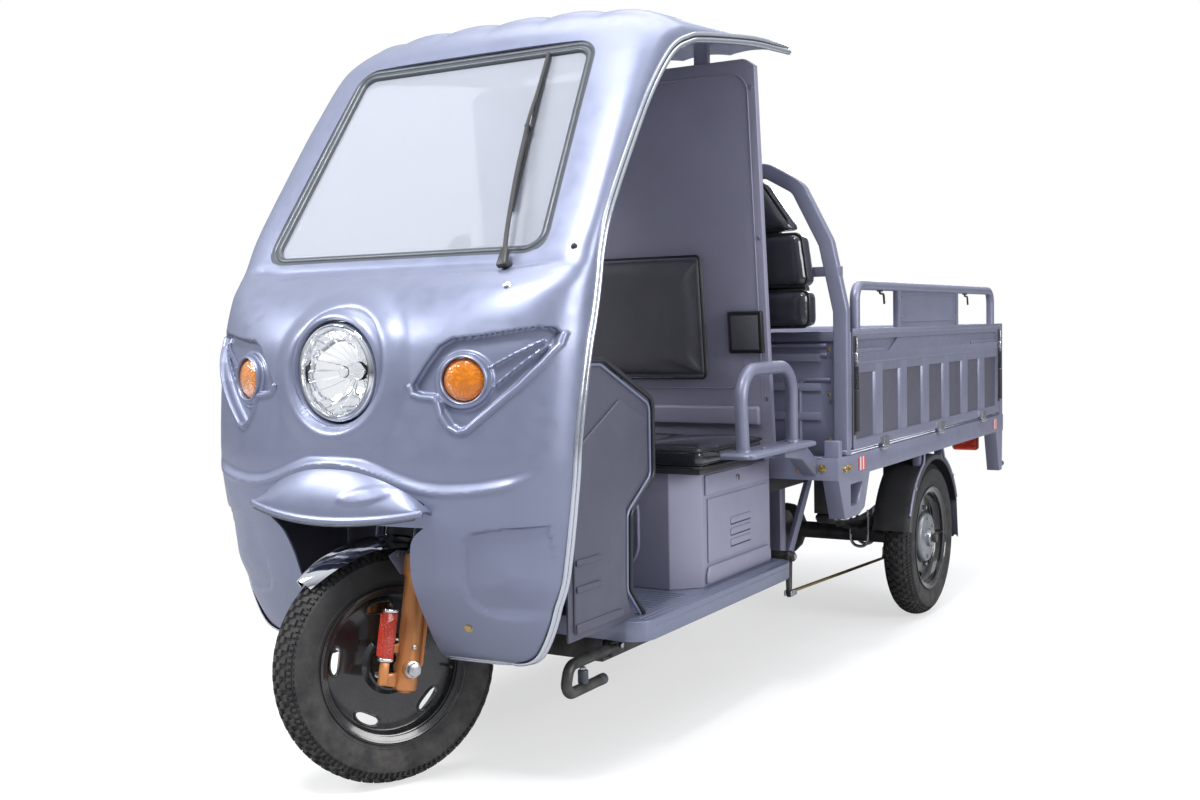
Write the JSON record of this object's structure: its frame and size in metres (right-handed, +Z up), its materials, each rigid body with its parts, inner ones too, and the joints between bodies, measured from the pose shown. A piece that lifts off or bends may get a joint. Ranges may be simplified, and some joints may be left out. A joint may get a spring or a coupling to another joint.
{
  "type": "electric cargo tricycle",
  "caption": "Electric cargo tricycle with an open-sided moulded cab, a steered front wheel in a telescopic fork and a drop-side cargo bed on a leaf-sprung rear axle.",
  "frame": {"origin": "on the ground under the middle of the vehicle's length and width", "axes": "-Y to the front of the vehicle, +X to the driver's left, +Z up"},
  "size_m": [1.1884, 3.2105, 1.7015],
  "materials": {
    "body_paint": "gloss metallic lavender blue",
    "black_plastic": "satin",
    "wheel_paint": "gloss black",
    "dark_steel": "satin black",
    "chrome": "polished",
    "gold_paint": "satin bronze gold",
    "rubber": "matt",
    "tyre": "matt",
    "black_vinyl": "gloss",
    "amber_lens": "gloss",
    "red_lens": "gloss",
    "glass": "clear"
  },
  "bodies": {
    "chassis": {"battery_pack": "black_plastic", "bed_floor": "body_paint", "bed_frame": "body_paint", "cab_back_pad": "black_vinyl", "cab_rear_panel": "body_paint", "cab_shell": "body_paint", "cab_side_pad_left": "rubber", "cab_side_pad_right": "rubber", "chassis_frame": "dark_steel", "dash_fairing": "body_paint", "drive_motor": "dark_steel", "floor_pan": "body_paint", "headboard": "body_paint", "headboard_cushion": "black_vinyl", "headlight": "chrome", "hip_hoop_left": "body_paint", "hip_hoop_right": "body_paint", "leaf_spring_left": "dark_steel", "leaf_spring_right": "dark_steel", "mudguard_left": "black_plastic", "mudguard_right": "black_plastic", "parking_brake_linkage": "dark_steel", "rear_axle": "dark_steel", "seat_box": "body_paint", "signal_lamp_left": "amber_lens", "signal_lamp_right": "amber_lens", "step_tube_left": "dark_steel", "step_tube_right": "dark_steel", "tail_lamp_left": "red_lens", "tail_lamp_right": "red_lens", "windscreen": "glass", "windscreen_gasket": "rubber", "wiper": "black_plastic"},
    "steering": {"fork_leg_left": "gold_paint", "fork_leg_right": "gold_paint", "fork_tube_left": "chrome", "fork_tube_right": "chrome", "fork_yoke": "dark_steel", "front_axle": "chrome", "front_fender": "chrome", "handlebar": "black_plastic", "mirror_left": "black_plastic", "mirror_right": "black_plastic", "fork_reflector_left": "red_lens", "fork_reflector_right": "red_lens"},
    "front_wheel": {"front_rim": "wheel_paint", "front_tyre": "tyre"},
    "rear_wheel_left": {"rear_rim_left": "wheel_paint", "rear_tyre_left": "tyre"},
    "rear_wheel_right": {"rear_rim_right": "wheel_paint", "rear_tyre_right": "tyre"},
    "seat": {"seat_pan": "black_plastic", "seat_cushion": "black_vinyl"},
    "side_gate_left": {"side_gate_left": "body_paint"},
    "side_gate_right": {"side_gate_right": "body_paint"},
    "tailgate": {"tailgate": "body_paint"}
  },
  "joints": [
    {"name": "steering_head", "type": "hinge", "parent": "chassis", "child": "steering", "pos_m": [0, -1.37478, 0.24916], "axis": [0, 0.2079, 0.9781], "range_deg": [-11.5, 64.5]},
    {"name": "front_wheel_spin", "type": "hinge", "parent": "steering", "child": "front_wheel", "pos_m": [0, -1.37478, 0.24916], "axis": [0.8949, -0.4364, 0.0928], "continuous": true},
    {"name": "rear_left_wheel_spin", "type": "hinge", "parent": "chassis", "child": "rear_wheel_left", "pos_m": [0.521, 0.67722, 0.25], "axis": [1, 0, 0], "continuous": true},
    {"name": "rear_right_wheel_spin", "type": "hinge", "parent": "chassis", "child": "rear_wheel_right", "pos_m": [-0.521, 0.67722, 0.25], "axis": [1, 0, 0], "continuous": true},
    {"name": "seat_hinge", "type": "hinge", "parent": "chassis", "child": "seat", "pos_m": [0, -0.74078, 0.61], "axis": [1, 0, 0], "range_deg": [0, 65]},
    {"name": "side_gate_left_hinge", "type": "hinge", "parent": "chassis", "child": "side_gate_left", "pos_m": [0.5875, 0.69522, 0.594], "axis": [0, 1, 0], "range_deg": [0, 170]},
    {"name": "side_gate_right_hinge", "type": "hinge", "parent": "chassis", "child": "side_gate_right", "pos_m": [-0.5875, 0.69522, 0.594], "axis": [0, -1, 0], "range_deg": [0, 170]},
    {"name": "tailgate_hinge", "type": "hinge", "parent": "chassis", "child": "tailgate", "pos_m": [0, 1.55272, 0.594], "axis": [-1, 0, 0], "range_deg": [0, 170]}
  ]
}
